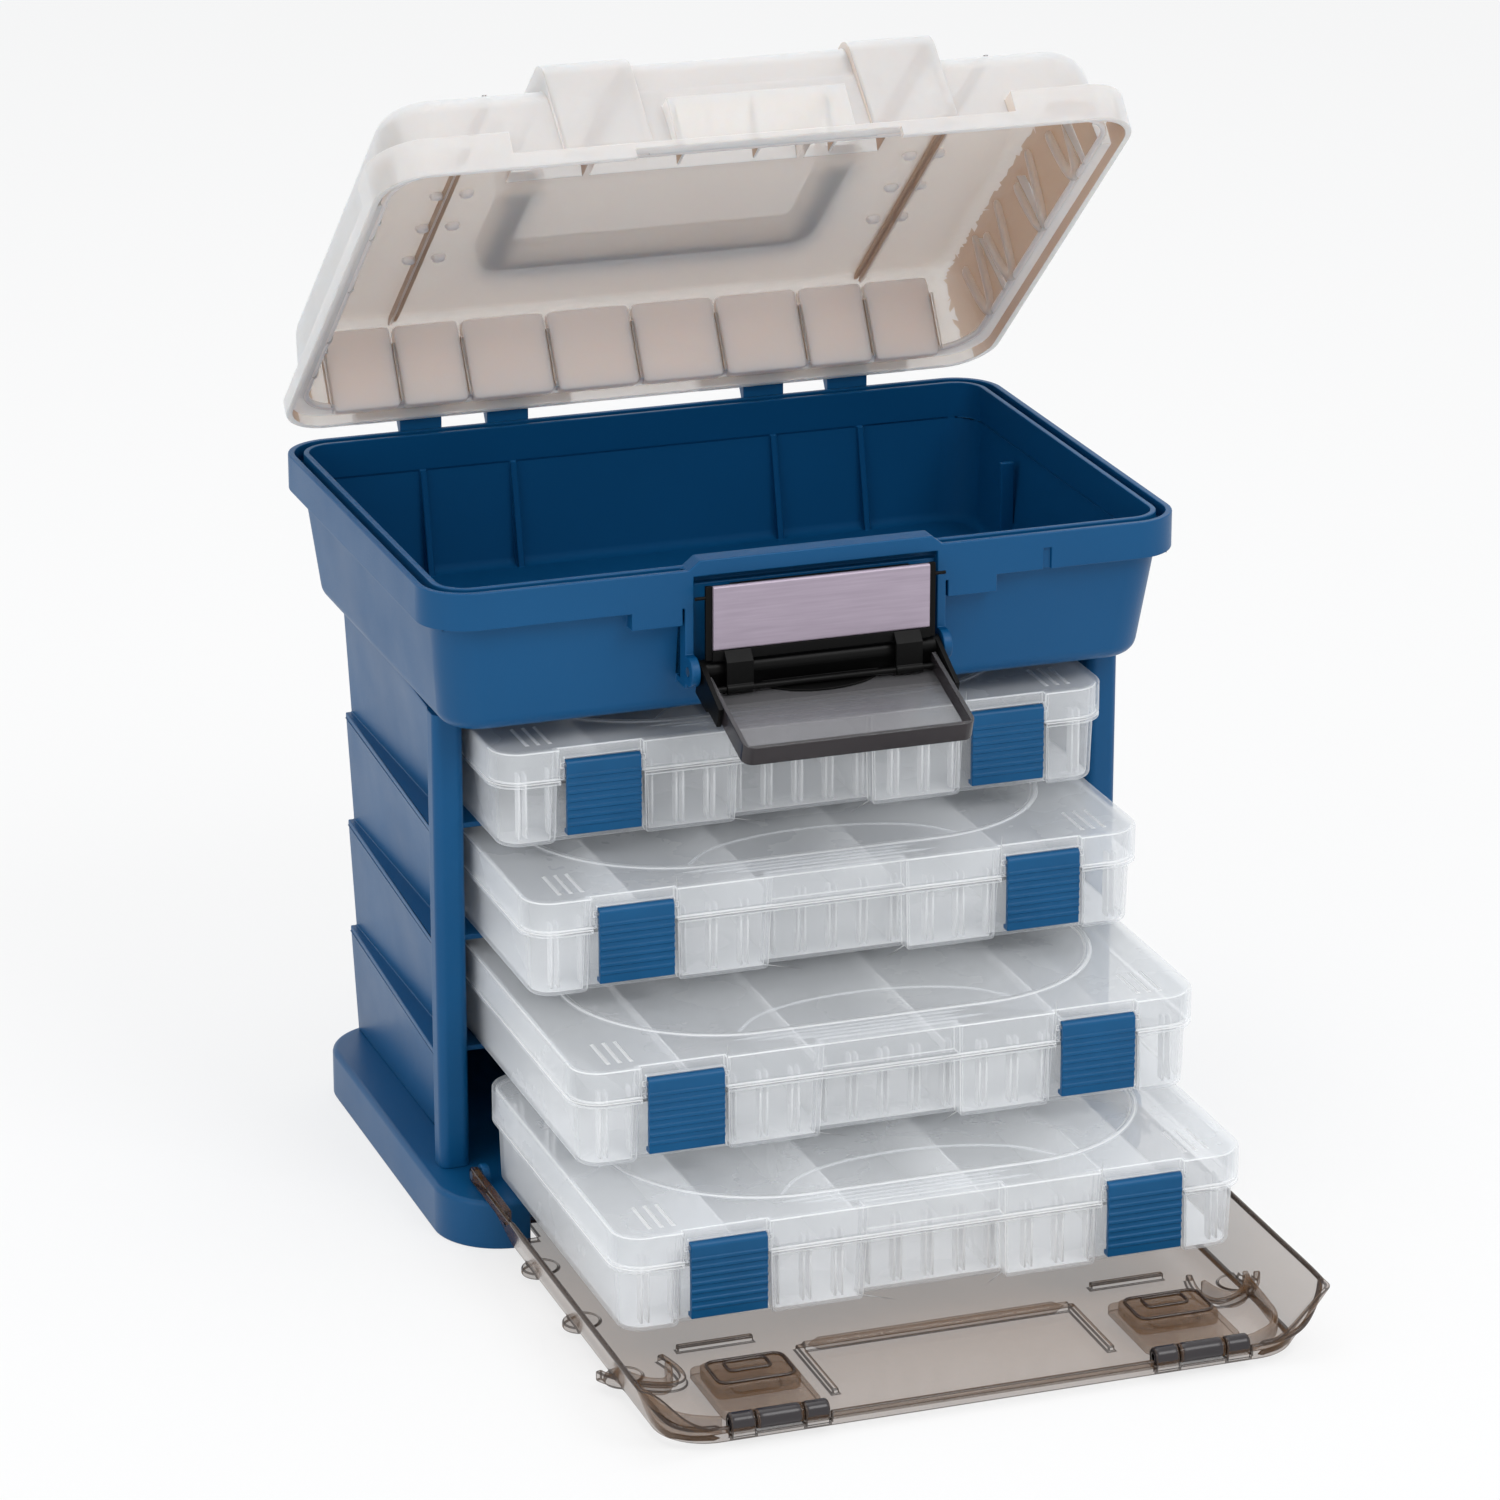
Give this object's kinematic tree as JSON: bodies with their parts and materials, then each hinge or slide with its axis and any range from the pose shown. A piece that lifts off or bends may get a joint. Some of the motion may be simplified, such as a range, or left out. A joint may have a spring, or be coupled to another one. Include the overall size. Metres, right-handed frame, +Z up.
{
  "type": "tackle box",
  "caption": "Tackle box with a rack of pull-out divided boxes behind a fold-down door, under an open bin with a hinged lid, carry handle and draw latch.",
  "frame": {"origin": "centre of the plinth's underside, on the floor", "axes": "+X to the user's right as they face the boxes, +Y to the back, +Z up"},
  "size_m": [0.34, 0.4681, 0.4925],
  "materials": {
    "blue_plastic": "moulded blue polypropylene, satin",
    "latch_blue": "moulded blue latch plastic, satin",
    "milky_plastic": "milky translucent polypropylene",
    "clear_plastic": "clear frosted polypropylene",
    "smoked_plastic": "smoked translucent plastic",
    "black_plastic": "moulded black",
    "satin_plastic": "satin silver-lilac plate",
    "grey_plastic": "dark grey handle plastic",
    "steel_pin": "plain steel wire"
  },
  "bodies": {
    "case": {"plinth": "blue_plastic", "rack_wall_left": "blue_plastic", "rack_wall_right": "blue_plastic", "rack_back": "blue_plastic", "top_bin": "blue_plastic", "lid_hinge_pins": "steel_pin", "latch_lever_pins": "steel_pin", "door_hinge_pins": "steel_pin"},
    "lid": {"lid_shell": "milky_plastic", "handle_pins": "steel_pin"},
    "handle": {"carry_handle": "grey_plastic"},
    "latch_lever": {"latch_lever_frame": "black_plastic", "latch_cover": "smoked_plastic", "draw_plate_pin": "black_plastic"},
    "latch_draw_plate": {"draw_frame": "black_plastic", "draw_plate": "satin_plastic"},
    "door": {"door_panel": "smoked_plastic", "door_latch_pins": "steel_pin"},
    "door_left_latch": {"door_latch_left": "smoked_plastic"},
    "door_right_latch": {"door_latch_right": "smoked_plastic"},
    "box_1": {"box_1_tray": "clear_plastic", "box_1_lid": "clear_plastic", "box_1_dividers": "clear_plastic", "box_1_latch_pins": "clear_plastic"},
    "box_1_latch_left": {"box_1_latch_left": "latch_blue"},
    "box_1_latch_right": {"box_1_latch_right": "latch_blue"},
    "box_2": {"box_2_tray": "clear_plastic", "box_2_lid": "clear_plastic", "box_2_dividers": "clear_plastic", "box_2_latch_pins": "clear_plastic"},
    "box_2_latch_left": {"box_2_latch_left": "latch_blue"},
    "box_2_latch_right": {"box_2_latch_right": "latch_blue"},
    "box_3": {"box_3_tray": "clear_plastic", "box_3_lid": "clear_plastic", "box_3_dividers": "clear_plastic", "box_3_latch_pins": "clear_plastic"},
    "box_3_latch_left": {"box_3_latch_left": "latch_blue"},
    "box_3_latch_right": {"box_3_latch_right": "latch_blue"},
    "box_4": {"box_4_tray": "clear_plastic", "box_4_lid": "clear_plastic", "box_4_dividers": "clear_plastic", "box_4_latch_pins": "clear_plastic"},
    "box_4_latch_left": {"box_4_latch_left": "latch_blue"},
    "box_4_latch_right": {"box_4_latch_right": "latch_blue"}
  },
  "joints": [
    {"name": "lid_hinge", "type": "hinge", "parent": "case", "child": "lid", "pos_m": [0, 0.137, 0.3045], "axis": [-1, 0, 0], "range_deg": [-41.5, 50]},
    {"name": "handle_pivot", "type": "hinge", "parent": "lid", "child": "handle", "pos_m": [0, 0.06879, 0.42359], "axis": [1, 0, 0], "range_deg": [0, 92]},
    {"name": "latch_pivot", "type": "hinge", "parent": "case", "child": "latch_lever", "pos_m": [0, -0.11, 0.2535], "axis": [1, 0, 0], "range_deg": [-108, 0]},
    {"name": "draw_plate_pivot", "type": "hinge", "parent": "latch_lever", "child": "latch_draw_plate", "pos_m": [0, -0.1178, 0.24676], "axis": [1, 0, 0], "range_deg": [0, 108]},
    {"name": "door_hinge", "type": "hinge", "parent": "case", "child": "door", "pos_m": [0, -0.084, 0.026], "axis": [1, 0, 0], "range_deg": [-4, 0]},
    {"name": "door_left_latch_pivot", "type": "hinge", "parent": "door", "child": "door_left_latch", "pos_m": [-0.092, -0.3175, 0.0092], "axis": [1, 0, 0], "range_deg": [0, 175]},
    {"name": "door_right_latch_pivot", "type": "hinge", "parent": "door", "child": "door_right_latch", "pos_m": [0.092, -0.3175, 0.0092], "axis": [1, 0, 0], "range_deg": [0, 175]},
    {"name": "box_1_slide", "type": "slide", "parent": "case", "child": "box_1", "axis": [0, -1, 0], "range_m": [-0.0117, 0.1123]},
    {"name": "box_1_latch_left_pivot", "type": "hinge", "parent": "box_1", "child": "box_1_latch_left", "pos_m": [-0.0918, -0.0961, 0.2134], "axis": [-1, 0, 0], "range_deg": [0, 110]},
    {"name": "box_1_latch_right_pivot", "type": "hinge", "parent": "box_1", "child": "box_1_latch_right", "pos_m": [0.0918, -0.0961, 0.2134], "axis": [-1, 0, 0], "range_deg": [0, 110]},
    {"name": "box_2_slide", "type": "slide", "parent": "case", "child": "box_2", "axis": [0, -1, 0], "range_m": [-0.0547, 0.0693]},
    {"name": "box_2_latch_left_pivot", "type": "hinge", "parent": "box_2", "child": "box_2_latch_left", "pos_m": [-0.0918, -0.1391, 0.1619], "axis": [-1, 0, 0], "range_deg": [0, 110]},
    {"name": "box_2_latch_right_pivot", "type": "hinge", "parent": "box_2", "child": "box_2_latch_right", "pos_m": [0.0918, -0.1391, 0.1619], "axis": [-1, 0, 0], "range_deg": [0, 110]},
    {"name": "box_3_slide", "type": "slide", "parent": "case", "child": "box_3", "axis": [0, -1, 0], "range_m": [-0.1187, 0.0053]},
    {"name": "box_3_latch_left_pivot", "type": "hinge", "parent": "box_3", "child": "box_3_latch_left", "pos_m": [-0.0918, -0.2031, 0.1104], "axis": [-1, 0, 0], "range_deg": [0, 110]},
    {"name": "box_3_latch_right_pivot", "type": "hinge", "parent": "box_3", "child": "box_3_latch_right", "pos_m": [0.0918, -0.2031, 0.1104], "axis": [-1, 0, 0], "range_deg": [0, 110]},
    {"name": "box_4_slide", "type": "slide", "parent": "case", "child": "box_4", "axis": [0, -1, 0], "range_m": [-0.1717, 0.0023]},
    {"name": "box_4_latch_left_pivot", "type": "hinge", "parent": "box_4", "child": "box_4_latch_left", "pos_m": [-0.0918, -0.2561, 0.0589], "axis": [-1, 0, 0], "range_deg": [0, 110]},
    {"name": "box_4_latch_right_pivot", "type": "hinge", "parent": "box_4", "child": "box_4_latch_right", "pos_m": [0.0918, -0.2561, 0.0589], "axis": [-1, 0, 0], "range_deg": [0, 110]}
  ],
  "couplings": [
    {"joint": "draw_plate_pivot", "follows": "latch_pivot", "ratio": -1}
  ]
}
